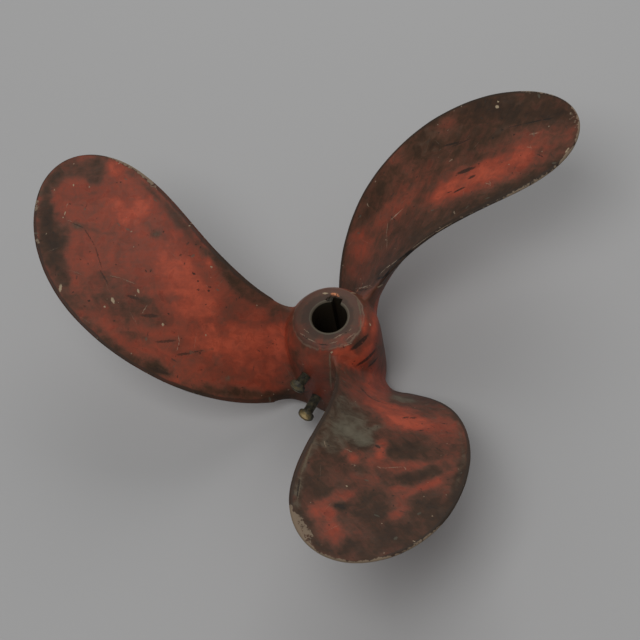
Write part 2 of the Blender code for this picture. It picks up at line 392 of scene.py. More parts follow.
# The keyway's left corner at the hub's end is broken away, and the hub's rim has a few dents. Both are
# lumps cut out of it: (aside from the keyway's wall, out, above the end, radius) for the corner, and
# (degrees round the hub, out, radius) for the rim, in millimetres.
KEYWAY_CHIP = ((0.8, 15.8, 0.8, 3.0), (2.8, 14.6, 0.3, 2.0), (0.4, 18.4, 0.6, 1.9), (-3, 18.6, 0.5, 1.6))
RIM_DENTS = (
    (-100, 28.8, 0.8), (-152, 29, 0.9), (-38, 28.6, 0.8), (150, 28.8, 0.7), (84, 28, 1.0), (96, 28.2, 0.8),
)
DENT_LEVEL = -1.2
LUMP_GRAIN = 0.5
LUMP_ROUGHNESS = 0.35


def break_away(turn, place, radius, seed):
    """Cuts an uneven ball out of the hub's aft end, at a place in millimetres that is turned about Z."""
    centre = Matrix.Rotation(turn, 3, "Z") @ Vector(place) * MM + Vector((0, 0, AFT_END))
    bm = bmesh.new()
    bmesh.ops.create_icosphere(bm, subdivisions=3, radius=radius * MM)
    for vert in bm.verts:
        rough = noise.noise(vert.co / (LUMP_GRAIN * radius * MM) + Vector((seed, 3, 5)))
        vert.co = vert.co * (1 + LUMP_ROUGHNESS * rough) + centre
    combine(casting, new_mesh("lump", bm), "DIFFERENCE")


for seed, (aside, out, above, radius) in enumerate(KEYWAY_CHIP):
    break_away(KEYWAY_ANGLE, (out, aside + KEYWAY_WIDTH / 2 / MM, above), radius, seed)
for seed, (degrees, out, radius) in enumerate(RIM_DENTS):
    break_away(math.radians(degrees), (out, 0, DENT_LEVEL), radius, seed)
for angle, level, seat, _ in SCREW_PLACES.values():
    hole = cylinder("hole", SCREW_HOLE_RADIUS, BORE_RADIUS / 2, seat, SCREW_HOLE_STEPS)
    hole.transform(along_radius(angle, level))
    combine(casting, hole, "DIFFERENCE")

# The cuts leave a few slivers without an area at their corners
CUT_SLIVER = 0.02 * MM
bm = bmesh.new()
bm.from_mesh(casting.data)
bmesh.ops.remove_doubles(bm, verts=bm.verts, dist=CUT_SLIVER)
bmesh.ops.dissolve_degenerate(bm, edges=bm.edges, dist=CUT_SLIVER)
bm.to_mesh(casting.data)
bm.free()

# Hand fettling left the skin a little uneven, all but on the turned faces: waves by length and height
WAVES = ((46 * MM, 0.34 * MM), (17 * MM, 0.12 * MM), (6 * MM, 0.05 * MM))
SKIN_SINK = 0.1 * MM
FACED_DEPTH = 1.2 * MM
FACED_REACH = 24 * MM
FOOT_DEPTH = 0.6 * MM
BORED_REACH = BORE_RADIUS + KEYWAY_DEPTH + 0.3 * MM
SHARP_ANGLE = math.radians(38)
mesh = casting.data
places = np.array([vert.co for vert in mesh.vertices])
normals = np.array([vert.normal for vert in mesh.vertices])


def noise_at(points, size, shift):
    """Smooth noise from -1 to 1 over points, with lumps of this size."""
    return np.array([noise.noise(Vector(point) / size + shift) for point in points])


reach = np.hypot(places[:, 0], places[:, 1])
turned_face = (np.abs(places[:, 2] - AFT_END) < FACED_DEPTH) & (reach < FACED_REACH)
turned_face |= (places[:, 2] < FORWARD_END + FOOT_DEPTH) | (reach < BORED_REACH)
relief = sum(height * noise_at(places, size, Vector((3, 7, 1))) for size, height in WAVES)
relief = np.where(turned_face, 0, relief - SKIN_SINK)
places += normals * relief[:, None]
mesh.vertices.foreach_set("co", places.astype(np.float32).ravel())
mesh.update()
mesh.shade_smooth()
mesh.set_sharp_from_angle(angle=SHARP_ANGLE)

# Where every vertex lies on its blade, and how squarely it faces the picture
EDGE_STEP = 0.5 * MM
HUB_SKIN_REACH = 40 * MM
HUB_SKIN_BLEND = 16 * MM
SEEN_FADE = 0.3
angles = np.arctan2(places[:, 1], places[:, 0])


def wrapped(turns):
    return (turns + math.pi) % (2 * math.pi) - math.pi


def midline_turn(radii):
    return midline_at(np.clip(span_of(radii), 0, 1))


def outline_room(radii, arcs):
    """How far inside the blade's outline a place is, along its arc: below zero past the edge."""
    share = np.clip(span_of(radii), 0, 1)
    half = chord_at(share) / 2 * np.sqrt(np.maximum(1 - share ** TIP_FULLNESS, 0))
    return half - np.abs(arcs - midline_at(share) * radii)


def nearest_blade(turns, radii):
    """The blade whose middle line is nearest to each place, and the turn from that line to the place."""
    off_lines = np.stack([wrapped(turns - turn - midline_turn(radii)) for turn in BLADE_TURNS])
    blades = np.abs(off_lines).argmin(axis=0)
    return blades, np.take_along_axis(off_lines, blades[None], 0)[0]


blade_of, off_line = nearest_blade(angles, reach)
arcs = reach * (off_line + midline_turn(reach))
room_change = outline_room(reach + EDGE_STEP, arcs) - outline_room(reach - EDGE_STEP, arcs)
steepness = room_change / (2 * EDGE_STEP)
edge_way = outline_room(reach, arcs) / np.sqrt(1 + steepness ** 2)
on_blade = np.clip((reach - HUB_SKIN_REACH) / HUB_SKIN_BLEND, 0, 1)
sight = np.array(eye) - places
facing = (sight * normals).sum(axis=1) / np.linalg.norm(sight, axis=1)
seen = np.clip(1 + facing / SEEN_FADE, 0, 1)
shown = picture_places(places)

# The paint is laid by picture marks: each is an ellipse with its centre, half length, half width and
# clockwise turn in the picture's pixels and degrees, and the amount that the finish has inside it
RED_MARKS = (
    (92, 166, 25, 11, -3, 0.27), (93, 177, 8, 7, 0, 0.3), (56, 178, 17, 9, -55, 0.2),
    (115, 166, 8, 9, 60, 0.92), (46, 215, 22, 8, 95, 0.12), (52, 240, 20, 13, 80, 0.08),
    (56, 262, 24, 10, 65, 0.14), (66, 294, 24, 7, 55, 0.3), (98, 333, 30, 5, 41, 0.36),
    (130, 358, 24, 4, 29, 0.28), (157, 368, 15, 7, 24, 0.06), (222, 392, 46, 6, 4, 0.22),
    (272, 395, 26, 4, 0, 0.25), (150, 190, 18, 3, 40, 0.3), (180, 222, 40, 5, 50, 0.3),
    (222, 264, 22, 7, 46, 0.25), (240, 283, 28, 8, 40, 0.28), (262, 298, 22, 8, 33, 0.36),
    (276, 314, 9, 6, 40, 0.36), (232, 310, 18, 9, 20, 0.55), (112, 298, 30, 20, 20, 0.4),
    (142, 308, 16, 12, 30, 0.33), (152, 318, 18, 8, 10, 0.36), (248, 362, 11, 14, 0, 0.72),
    (180, 275, 34, 15, 62, 0.95), (196, 300, 22, 16, 50, 0.9), (215, 340, 20, 14, -10, 0.9),
    (252, 345, 34, 15, 0, 0.98), (277, 345, 14, 20, 0, 0.95), (265, 368, 18, 10, 0, 0.88),
    (130, 216, 10, 7, -20, 0.92), (142, 206, 8, 5, 60, 0.85), (118, 202, 8, 5, 30, 0.88),
    (209, 262, 5, 3.5, 60, 1), (213, 328, 4, 2.5, 60, 1.1), (78, 226, 9, 4, 10, 0.38),
    (156, 234, 6, 4, 0, 0.3), (137, 336, 7, 5, 0, 0.3), (500, 108, 56, 15, -8, 0.08),
    (545, 112, 30, 18, 10, 0.12), (440, 135, 30, 20, -35, 0.16), (470, 140, 40, 12, -20, 0.18),
    (447, 126, 12, 8, -40, 0.45), (395, 158, 14, 6, -45, 0.45), (545, 138, 30, 13, -15, 0.5),
    (535, 152, 24, 9, -30, 0.45), (560, 152, 13, 13, 0, 0.42), (478, 178, 50, 12, -23, 0.87),
    (515, 158, 20, 8, -18, 0.74), (455, 190, 20, 6, -15, 0.85), (500, 197, 66, 7, -27, 0.08),
    (555, 170, 16, 7, -40, 0.08), (440, 227, 42, 12, -35, 0.2), (410, 195, 40, 11, -45, 0.34),
    (385, 215, 12, 18, 20, 0.5), (402, 206, 18, 7, -50, 0.55), (375, 198, 9, 22, 30, 0.22),
    (362, 250, 12, 18, 10, 0.64), (357, 270, 8, 12, 0, 0.48), (377, 262, 14, 9, -40, 0.38),
    (391, 240, 13, 20, 30, 0.36), (396, 262, 20, 6, -40, 0.2), (350, 425, 26, 24, 0, 0.15),
    (340, 385, 14, 22, 0, 0.2), (408, 420, 36, 9, 18, 0.95), (436, 430, 10, 8, 30, 0.86),
    (455, 440, 5, 16, -5, 0.7), (456, 462, 5, 12, 10, 0.6), (390, 408, 20, 4, 12, 0.8),
    (381, 450, 6, 12, 10, 0.92), (377, 462, 14, 5, 30, 0.7), (353, 459, 6, 5, 40, 0.8),
    (345, 452, 5, 3, -30, 0.6), (410, 449, 20, 10, 0, 0.14), (430, 458, 12, 5, -20, 0.3),
    (450, 430, 9, 18, -50, 0.6), (456, 450, 10, 18, 15, 0.45), (440, 440, 16, 6, 10, 0.5),
    (412, 466, 40, 6, 0, 0.58), (410, 479, 38, 6, -20, 0.1), (425, 487, 26, 4, -22, 0.66),
    (398, 490, 10, 4, 0, 0.5), (395, 500, 14, 12, 30, 0.52), (424, 505, 12, 10, 0, 0.18),
    (372, 505, 13, 20, 30, 0.12), (440, 522, 34, 14, -45, 0.1), (460, 485, 8, 30, 8, 0.1),
    (400, 537, 36, 12, -15, 0.12), (398, 513, 8, 4, -30, 0.68), (318, 510, 14, 8, 35, 0.78),
    (330, 508, 10, 4, 60, 0.7), (336, 498, 6, 14, 30, 0.62), (334, 527, 12, 6, 50, 0.72),
    (344, 535, 8, 4, 20, 0.55), (347, 494, 9, 5, -30, 0.66), (341, 506, 7, 3.5, 0, 0.08),
    (313, 475, 14, 26, 15, 0.2), (340, 480, 16, 12, 0, 0.36), (328, 546, 20, 7, 25, 0.2),
    (299, 500, 5, 24, 5, 0.22), (355, 547, 30, 8, 5, 0.18), (315, 362, 16, 16, 0, 0.72),
    (318, 390, 14, 14, 0, 0.64), (345, 376, 10, 14, 0, 0.42), (299, 330, 7, 14, -35, 0.66),
    (326, 342, 14, 4, 0, 0.7), (367, 299, 8, 9, 0, 0.42), (345, 338, 8, 5, -30, 0.66),
    (300, 306, 8, 8, -30, 0.55), (364, 325, 4, 9, -8, 0.85), (375, 325, 4, 20, 6, 0.95),
    # The mark at (347, 356) lifts the paint past its brightest tone: a painted highlight where the hub's
    # bulge catches the lamp
    (368, 350, 6, 14, 30, 0.92), (347, 356, 12, 8, 20, 1.25), (372, 380, 10, 18, 8, 0.95),
    (384, 388, 7, 12, 0, 0.8), (355, 392, 8, 8, 0, 0.55), (452, 462, 5, 30, 12, 0.4),
    (330, 530, 14, 9, 50, 0.66), (372, 480, 16, 8, -10, 0.46), (352, 478, 9, 5, -40, 0.5),
    (308, 478, 9, 16, 15, 0.26),
)
PATINA_MARKS = (
    (348, 415, 30, 18, 5, 0.5), (349, 432, 26, 14, 10, 0.66), (343, 430, 12, 6, 10, 0.9),
    (360, 438, 14, 7, 20, 0.85), (372, 430, 10, 4, -30, 0.7), (325, 420, 10, 22, 10, 0.5),
    (335, 445, 14, 10, 0, 0.55), (299, 485, 6, 22, 10, 0.62), (312, 448, 5, 18, 22, 0.6),
    (300, 520, 6, 12, -25, 0.5), (342, 402, 9, 9, 0, 0.55), (360, 470, 12, 8, 0, 0.4),
    (404, 399, 17, 4, 8, 0.75), (352, 245, 3, 12, 0, 0.3), (352, 262, 4, 6, 0, 0.4),
    (157, 234, 6, 3.5, 0, 0.6), (226, 378, 5, 4, 0, 0.6), (195, 352, 14, 2.5, -10, 0.6),
    (78, 226, 9, 4, 5, 0.5), (330, 372, 3, 20, 2, 0.35), (40, 190, 4, 12, 20, 0.5),
    (384, 245, 6, 12, 30, 0.3), (430, 140, 30, 14, -30, 0.35), (461, 440, 3, 26, -8, 0.5),
    (458, 480, 3, 22, 14, 0.42),
)
BARE_EDGE_MARKS = (
    (300, 528, 8, 24, -38, 1.5), (325, 553, 24, 8, 28, 1.1), (372, 562, 40, 8, -4, 0.85),
    (425, 543, 26, 8, -35, 0.62), (570, 158, 7, 22, 32, 1.25), (577, 125, 6, 24, -15, 1.2),
    (535, 181, 40, 6, -28, 0.62), (545, 93, 30, 5, 8, 0.65), (130, 166, 34, 4, 26, 0.9),
    (150, 184, 16, 3, 42, 0.9), (38, 205, 3, 6, 0, 1), (39, 238, 3, 6, 0, 1), (60, 285, 4, 8, -30, 0.6),
    (345, 290, 18, 2.5, -8, 0.8), (395, 265, 22, 3, -40, 0.1),
)
# Painted shade: dark marks on the sides of the hub's barrel, about the blades' feet and at a few places on
# the blades. With a faint base everywhere, they darken the paint towards #2a1a13.
PAINTED_SHADE_MARKS = (
    (316, 372, 16, 26, 5, 0.42), (322, 395, 14, 14, 0, 0.52), (306, 322, 12, 26, 0, 0.35),
    (345, 380, 12, 16, 0, 0.1), (294, 345, 5, 20, 0, 0.3), (380, 345, 5, 26, 0, 0.35),
    (262, 375, 24, 10, 0, 0.2), (387, 265, 10, 26, 30, 0.4), (300, 395, 20, 5, 5, 0.5),
    (430, 400, 20, 4, 15, 0.4), (60, 250, 12, 40, -15, 0.15), (352, 395, 22, 10, 0, 0.2),
)
MARK_RAGGEDNESS = 0.42
RAGGED_COARSE = 14 * MM
RAGGED_FINE = 5 * MM
RAGGED_FINE_SHARE = 0.9
ragged = noise_at(places, RAGGED_COARSE, Vector((5, 2, 8)))
ragged += RAGGED_FINE_SHARE * noise_at(places, RAGGED_FINE, Vector((1, 9, 4)))


def marked(base, marks, softness):
    """The finish over the vertices: base, then each mark in turn, on what faces the picture."""
    field = base + np.zeros(len(places))
    for x, y, length, width, turn, amount in marks:
        away = shown - np.array([x, y])
        turned = math.radians(turn)
        along = away[:, 0] * math.cos(turned) + away[:, 1] * math.sin(turned)
        aside = away[:, 1] * math.cos(turned) - away[:, 0] * math.sin(turned)
        way = np.hypot(along / length, aside / width) + MARK_RAGGEDNESS * ragged
        inside = np.clip((1 + softness - way) / (2 * softness), 0, 1)
        inside = inside ** 2 * (3 - 2 * inside) * seen
        field += (amount - field) * inside
    return field


BLADE_RED = (0.66, 0.32, 0.34)
HUB_RED = 0.42
BACK_RED = 0.5
BARE_EDGE_BASE = 0.25
PAINTED_SHADE_BASE = 0.08
RIM_WIDTH = 4 * MM
RED_SOFTNESS = 0.75
WIDE_SOFTNESS = 0.8
EDGE_SOFTNESS = 0.4
base_red = np.array(BLADE_RED)[blade_of]
base_red = np.where(normals[:, 2] > 0, base_red, BACK_RED)
base_red = HUB_RED + (base_red - HUB_RED) * on_blade
for name, field in (
    ("red", marked(base_red, RED_MARKS, RED_SOFTNESS)),
    ("patina", marked(0, PATINA_MARKS, WIDE_SOFTNESS)),
    ("bare_edge", marked(BARE_EDGE_BASE, BARE_EDGE_MARKS, EDGE_SOFTNESS) * on_blade),
    ("edge", np.clip(1 - edge_way / RIM_WIDTH, 0, 1) * on_blade),
    ("painted_shade", marked(PAINTED_SHADE_BASE, PAINTED_SHADE_MARKS, WIDE_SOFTNESS)),
):
    mesh.attributes.new(name, "FLOAT", "POINT").data.foreach_set("value", field.astype(np.float32))

# A map of the skin in millimetres, to brush the paint along: along the arc and out from the shaft on the
# blades, round and up the hub. Each blade, each back and the hub have their own part of it.
BACK_SHIFT = 400
BLADE_SHIFT = 1000
HUB_SHIFT = -1000
HUB_MAP_REACH = 46 * MM


def skin_map(points, patches):
    """Places on the map of points in these patches: (blade, or -1 for the hub; back or not; turn)."""
    blades, backs, turns = patches
    radii = np.hypot(points[:, 0], points[:, 1])
    at = turns + wrapped(np.arctan2(points[:, 1], points[:, 0]) - turns)
    on_hub = np.stack([at * BARREL_RADIUS, points[:, 2]], axis=-1) / MM + HUB_SHIFT
    on_blades = np.stack([(at - BLADE_TURNS[blades]) * radii, radii], axis=-1) / MM
    on_blades += np.stack([blades * BLADE_SHIFT, backs * BACK_SHIFT], axis=-1)
    return np.where((blades >= 0)[:, None], on_blades, on_hub)


middles = np.array([polygon.center for polygon in mesh.polygons])
facings = np.array([polygon.normal for polygon in mesh.polygons])
middle_reach = np.hypot(middles[:, 0], middles[:, 1])
middle_turns = np.arctan2(middles[:, 1], middles[:, 0])
patch_blades, off_line = nearest_blade(middle_turns, middle_reach)
on_line = BLADE_TURNS[patch_blades] + midline_turn(middle_reach)
patch_blades[middle_reach < HUB_MAP_REACH] = -1
patch_turns = np.where(patch_blades < 0, middle_turns, on_line + off_line)
patches = (patch_blades, (facings[:, 2] < 0) & (patch_blades >= 0), patch_turns)
sizes = np.array([polygon.loop_total for polygon in mesh.polygons])
loop_verts = np.array([loop.vertex_index for loop in mesh.loops])
loop_patches = tuple(np.repeat(part, sizes) for part in patches)
skin = mesh.uv_layers.new(name="skin")
skin.data.foreach_set("uv", skin_map(places[loop_verts], loop_patches).astype(np.float32).ravel())

# Marks too fine for the vertices: two ends in the picture's pixels and a width in millimetres
DARK_SCRAPES = (
    (352, 349, 367, 336, 4.2), (358, 365, 375, 350, 4), (369, 366, 377, 358, 3),
    (88.4, 300.7, 89.5, 300.9, 1.6), (197.8, 280.8, 198.3, 281.4, 1.4), (197.8, 289.6, 198.6, 289.8, 1.5),
    (208.5, 290.5, 209, 290.8, 1.8), (207.5, 286.8, 211, 287.3, 1), (192.8, 272.8, 194.4, 274, 1.6),
    (458.5, 173.3, 473.5, 167.8, 4), (456, 175.5, 462, 172.6, 1.4), (469.4, 178.2, 474.2, 175.6, 2.8),
    (454.2, 192.2, 464.3, 187.4, 2.4), (447, 193, 452, 191.4, 1), (524, 123.8, 553, 118, 1.6),
    (543, 120, 552, 118.2, 2.2), (508, 127.5, 524, 124.2, 1), (444, 146, 461, 141.8, 2),
    (452, 146.8, 470, 139, 1.2), (492.7, 137.9, 493.2, 138.1, 1.6), (513.8, 134.5, 514.3, 134.7, 1.6),
    (501.8, 129.8, 502.4, 130, 1.8), (500.6, 118.5, 503, 118.2, 1.2), (377, 446, 378.5, 447, 3.6),
    (335.5, 506, 343, 505.5, 3), (402.5, 417.3, 416, 418.6, 1.4), (341, 348.5, 350, 344, 1),
    (411.5, 250, 430, 236.5, 1), (430, 236.5, 450, 225, 0.9), (450, 225, 478, 211, 0.8),
    (403, 418, 408, 417, 2), (410, 418, 416, 417.4, 1.8), (418, 431, 424, 430, 1.2),
    (441, 423, 447, 424, 1.4), (303, 336, 311, 341, 1), (338, 337.5, 348, 331.5, 1),
    (318, 344, 328, 345, 0.9), (312, 443, 300, 476, 1.2), (300, 476, 297, 500, 1),
    (337, 505, 344, 508, 3.4), (404, 395.5, 411, 397, 1), (436, 448, 442, 452, 1),
    (120.3, 182, 121, 182.4, 1.2), (537, 154, 543, 157, 1),
)
# Painted shade: near-black lines in the creases where the upper right blade's foot runs into the hub
CREVICE_SHADE = (
    (377.3, 278.5, 383, 277.6, 3), (383.7, 277.2, 388, 271.8, 4.2), (388, 271.8, 392, 266.6, 4),
    (392, 266.6, 397, 260.8, 3.4), (397, 260.8, 404, 256, 2.8), (404, 256, 412, 250.6, 3),
    (378.5, 274.6, 382.6, 271.6, 1.2), (357, 290.2, 372, 287.4, 0.9),
)
# Faint dark scrapes; the run of four from (361, 388) to (387, 404) is a painted shadow under a lifted edge
# of paint
FAINT_SCRAPES_AND_SHADOW = (
    (142.5, 315.4, 156.5, 316.2, 3), (156.5, 342, 174.7, 340.5, 2), (177.5, 354.7, 190, 353.5, 2),
    (190, 352.5, 202.8, 350.5, 1.4), (128, 296, 139, 299, 2.4), (150, 368, 168, 374, 3),
    (100, 270, 108, 284, 1.2), (361, 388, 366, 394, 3), (366, 394, 372, 398.5, 2.6),
    (372, 398.5, 380, 402, 2), (380, 402, 387, 404, 1.4), (391.5, 217, 395, 220, 1.8),
    (70, 222, 84, 228, 0.8), (84, 228, 95, 246, 0.8), (95, 246, 101.7, 268, 0.8),
    (300, 395.5, 309, 391, 1.6),
)
# Pale scratches; the two runs from (342, 291) to (377, 286) lie along a ridge by the hub's aft end and are
# a painted highlight
PALE_SCRATCHES_AND_HIGHLIGHTS = (
    (300, 333, 306, 337.5, 0.7), (304, 329, 309, 333, 0.5), (307, 338.5, 315, 342, 0.8),
    (334, 338.5, 343, 333.5, 0.8), (342, 336.5, 351, 329, 0.7), (346, 340, 355, 333, 0.6),
    (330, 343.5, 338, 341, 0.6), (351.5, 293.2, 358, 291, 1.2), (412, 248.5, 431, 235, 0.6),
    (431, 235, 452, 222.6, 0.6), (386.7, 234, 386.7, 250, 0.5), (146.6, 305.6, 141.8, 314, 0.7),
    (178.2, 335.7, 179.6, 341.4, 0.8), (179.6, 341.4, 176.8, 350.5, 0.6), (110.2, 275.4, 122, 278.6, 0.5),
    (122, 278.6, 135.4, 284, 0.5), (68, 220.4, 72, 221.4, 0.6), (66.4, 207, 68, 203, 0.5),
    (390.5, 220, 402.5, 209.2, 0.8), (386, 236, 388, 222, 0.6), (367, 203.5, 368.6, 206.4, 1),
    (377.8, 466.8, 381, 468.3, 0.9), (381, 468, 404, 466.8, 0.45), (404, 466.8, 405.8, 469.5, 0.8),
    (509, 127, 519, 125.4, 0.5), (342, 291, 357, 288.4, 0.8), (357, 288, 377, 285.8, 0.6),
    (340, 347.2, 352, 343, 0.9), (453.8, 211, 454.8, 213.8, 0.9), (530, 134.4, 538.5, 132.8, 0.9),
    (485.5, 183, 489.8, 184.2, 0.8), (489.8, 181.5, 490.3, 186, 0.7), (449.5, 161.3, 452.2, 159.2, 1.1),
    (526.8, 147, 531, 147.4, 0.6), (530.6, 145, 531, 149.4, 0.5), (441, 423, 449, 424, 0.6),
    (324, 441, 326, 447, 0.8), (346, 449, 352, 452, 0.8), (352, 464.5, 355, 465.5, 1.4),
)
# Bright lines: the first five are painted highlights along the ridge by the hub's aft end and up the near
# edge of the upper right blade
EDGE_HIGHLIGHTS_AND_SCRATCHES = (
    (385.6, 268.4, 391.4, 264.4, 1), (391.4, 264.4, 399.1, 258.8, 1.1), (380, 274.2, 385.6, 268.4, 0.9),
    (340, 291.2, 356, 288.6, 0.8), (356, 288.6, 371, 285, 0.8), (390.5, 220, 399, 212.5, 0.8),
)
OLD_RUNS = (
    (329.8, 354, 330.2, 368, 1.6), (330.4, 368, 331.2, 388, 1.3), (331.2, 388, 329, 414, 1.1),
    (312, 444, 301, 474, 1.8), (300.6, 476, 297.4, 500, 1.6), (356, 296, 361, 316, 1.5),
    (361, 318, 360, 330, 1.3),
)
BEIGE_CHIPS = (
    (323.4, 293.2, 327.2, 293.4, 1.6), (351.4, 292.8, 355.6, 293.4, 1.6), (378.4, 287, 382.4, 284.9, 1.9),
    (60.8, 285.6, 60, 290.4, 2.2), (112.2, 299, 113.6, 302, 2.4), (104.6, 306.4, 105, 306.8, 1.5),
    (138, 290, 138.8, 292, 1.6), (162.6, 324, 163, 325.2, 1.7), (73.3, 184.5, 73.5, 185.6, 1.1),
    (65.3, 212.2, 64.5, 214.6, 1), (63.3, 217.2, 63.5, 217.8, 1), (211, 266.8, 211.6, 267.4, 1.1),
    (256.6, 305, 257, 305.4, 0.9), (498, 101.4, 498.3, 102, 1.3), (496.6, 106.2, 498, 107.2, 2.4),
    (566, 152, 568.5, 148.5, 1.8), (370, 324.3, 370.3, 325, 1.7), (331.2, 352.4, 331.8, 352.2, 1.4),
    (346.3, 486, 346.9, 486.4, 1.2), (413.7, 541, 414.4, 541.3, 1.2), (205.6, 334.8, 206, 335.2, 0.9),
    (380.4, 285.9, 382.2, 284.6, 1), (54, 189.4, 54.4, 190.4, 0.9), (189.2, 225.4, 189.8, 226, 0.9),
)
COPPER_NICKS = (
    (332.4, 293.8, 336.8, 294.4, 2.4), (337.2, 295.4, 338.6, 296, 1.4), (356.6, 291.6, 358, 289.8, 1.2),
)


def linear(colour):
    """An sRGB hex colour as linear values, for a shader's socket."""
    parts = [int(colour[i:i + 2], 16) / 255 for i in (1, 3, 5)]
    return tuple(c / 12.92 if c <= 0.04045 else ((c + 0.055) / 1.055) ** 2.4 for c in parts) + (1.0,)


# Each face carries the mark nearest to it, as its corners' places along and across the mark, so that the
# shader draws the mark's outline sharp whatever the size of the faces
STROKE_KINDS = (
    (DARK_SCRAPES, "#2a211a", 0.85),
    (CREVICE_SHADE, "#120d0a", 1.0),
    (FAINT_SCRAPES_AND_SHADOW, "#33251c", 0.68),
    (PALE_SCRATCHES_AND_HIGHLIGHTS, "#a8927a", 0.55),
    (EDGE_HIGHLIGHTS_AND_SCRATCHES, "#b5a38c", 0.85),
    (OLD_RUNS, "#6e604c", 0.7),
    (BEIGE_CHIPS, "#b3a083", 0.9),
    (COPPER_NICKS, "#c98560", 1.0, 0.6),
)
STROKE_REACH = 4 * MM
SAME_SKIN = 6 * MM
SAME_FACING = 0.3
FAR_OFF = 99.0
tree_bm = bmesh.new()
tree_bm.from_mesh(mesh)
surface = BVHTree.FromBMesh(tree_bm)
tree_bm.free()
face_total = len(mesh.polygons)
nearest_mark = np.full(face_total, STROKE_REACH)
mark_at = np.full((len(loop_verts), 3), FAR_OFF)
mark_size = np.ones((face_total, 3))
mark_hue = np.zeros((face_total, 4))
mark_metal = np.zeros(face_total)


def skin_hit(x, y):
    """The point of the casting that shows at this place in the picture, and its normal."""
    return surface.ray_cast(eye, sight_line(x, y))[:2]


def lay_mark(start, end, out, width, hue, amount, metal=0.0):
    """Hands a mark from start to end, on skin that faces out, to the faces that lie nearest to it."""
    run = end - start
    along = (run - out * run.dot(out)).normalized()
    axes = np.array((along, out.cross(along), out)).T
    middle = np.array((start + end) / 2)
    half = ((run.length + width) / 2, width / 2)
    off = (middles - middle) @ axes
    way = np.hypot(np.maximum(np.abs(off[:, 0]) - half[0], 0), np.abs(off[:, 1])) - half[1]
    alike = (np.abs(off[:, 2]) < SAME_SKIN) & (facings @ np.array(out) > SAME_FACING)
    mine = (way < nearest_mark) & alike
    nearest_mark[mine] = way[mine]
    corners = np.repeat(mine, sizes)
    mark_at[corners] = ((places[loop_verts[corners]] - middle) @ axes) / MM * (1, 1, 0)
    mark_size[mine] = (half[0] / MM, half[1] / MM, 1)
    mark_hue[mine] = (*linear(hue)[:3], amount)
    mark_metal[mine] = metal


for strokes, *finish in STROKE_KINDS:
    for x0, y0, x1, y1, width in strokes:
        (start, start_out), (end, end_out) = skin_hit(x0, y0), skin_hit(x1, y1)
        lay_mark(start, end, (start_out + end_out).normalized(), width * MM, *finish)

# Between them, small marks of no special place on both sides of the blades: how many, their lengths and
# widths in millimetres, the colour and its strength
STRAY_MARKS = (
    (420, (0.3, 1.2), (0.5, 1.3), "#2e251d", 0.75),
    (110, (1.5, 5), (0.6, 1.2), "#38302a", 0.6),
    (120, (0.2, 0.8), (0.4, 0.9), "#a8937a", 0.7),
    (70, (5, 16), (0.25, 0.4), "#93806c", 0.35),
    (90, (1, 3), (0.8, 2), "#5d5a4c", 0.6),
)
STRAY_START = 34 * MM
chance = random.Random(11)
areas = np.array([polygon.area for polygon in mesh.polygons]) * (middle_reach > STRAY_START)
stray_total = sum(kind[0] for kind in STRAY_MARKS)
spots = iter(chance.choices(range(face_total), weights=areas.tolist(), k=stray_total))
for amount, lengths, widths, hue, strength in STRAY_MARKS:
    for _ in range(amount):
        spot = next(spots)
        out = Vector(facings[spot])
        along = out.cross(Vector([chance.uniform(-1, 1) for _ in range(3)])).normalized()
        start = Vector(middles[spot])
        end = start + along * chance.uniform(*lengths) * MM
        lay_mark(start, end, out, chance.uniform(*widths) * MM, hue, strength)
for name, kind, domain, values, key in (
    ("mark_at", "FLOAT_VECTOR", "CORNER", mark_at, "vector"),
    ("mark_size", "FLOAT_VECTOR", "FACE", mark_size, "vector"),
    ("mark_hue", "FLOAT_COLOR", "FACE", mark_hue, "color"),
    ("mark_metal", "FLOAT", "FACE", mark_metal, "value"),
):
    mesh.attributes.new(name, kind, domain).data.foreach_set(key, values.astype(np.float32).ravel())


def add(kind, *inputs, out=0, stops=(), **settings):
    """Adds a shader node and gives its output. Its inputs, in order or in a dict, are values or links."""
    node = tree.nodes.new("ShaderNode" + kind)
    for name, value in settings.items():
        setattr(node, name, value)
    named = inputs[0] if inputs and isinstance(inputs[0], dict) else dict(enumerate(inputs))
    for name, value in named.items():
        if isinstance(value, bpy.types.NodeSocket):
            tree.links.new(value, node.inputs[name])
        else:
            node.inputs[name].default_value = value
    for index, (position, hue) in enumerate(stops):
        while len(node.color_ramp.elements) <= index:
            node.color_ramp.elements.new(1)
        node.color_ramp.elements[index].position = position
        node.color_ramp.elements[index].color = linear(hue)
    return node.outputs[out]


def new_material(name):
    made = bpy.data.materials.new(name)
    made.use_nodes = True
    return made, made.node_tree, made.node_tree.nodes["Principled BSDF"]


# Red bottom paint, brushed on over brown cast bronze and worn through: dull, brick red where it is whole,
# dark brown where it is rubbed off or greasy, grey green where the bronze is bare, and pale at fresh nicks.
# Over it lie painted shade on the hub's sides, the blades' feet and rims, the creases and the bore, and
# painted highlights along a few ridges. Each noise has the size of its lumps, its detail, roughness and
# distortion.
TIMES = {"operation": "MULTIPLY"}
PLUS = {"operation": "ADD"}
TIMES_PLUS = {"operation": "MULTIPLY_ADD"}
NOISE_KIND = ("Detail", "Roughness", "Distortion")
NOISES = (
    (30 * MM, 4.0, 0.5, 0.4), (9 * MM, 5.0, 0.6, 0.6), (2.4 * MM, 3.0, 0.6, 0.0), (3 * MM, 4.0, 0.65, 0.0),
    (12 * MM, 6.0, 0.62, 0.3), (22 * MM, 7.0, 0.55, 0.4), (9 * MM, 6.0, 0.6, 0.5),
)
BRUSH_WIDTH = 3.5
BRUSH_LENGTH = 30
PAINT_STOPS = (
    (0.0, "#36271b"), (0.18, "#483121"), (0.36, "#643e2e"),
    (0.54, "#844634"), (0.74, "#9d4934"), (1.0, "#c4583d"),
)
paint, tree, shader = new_material("worn_bottom_paint_on_bronze")
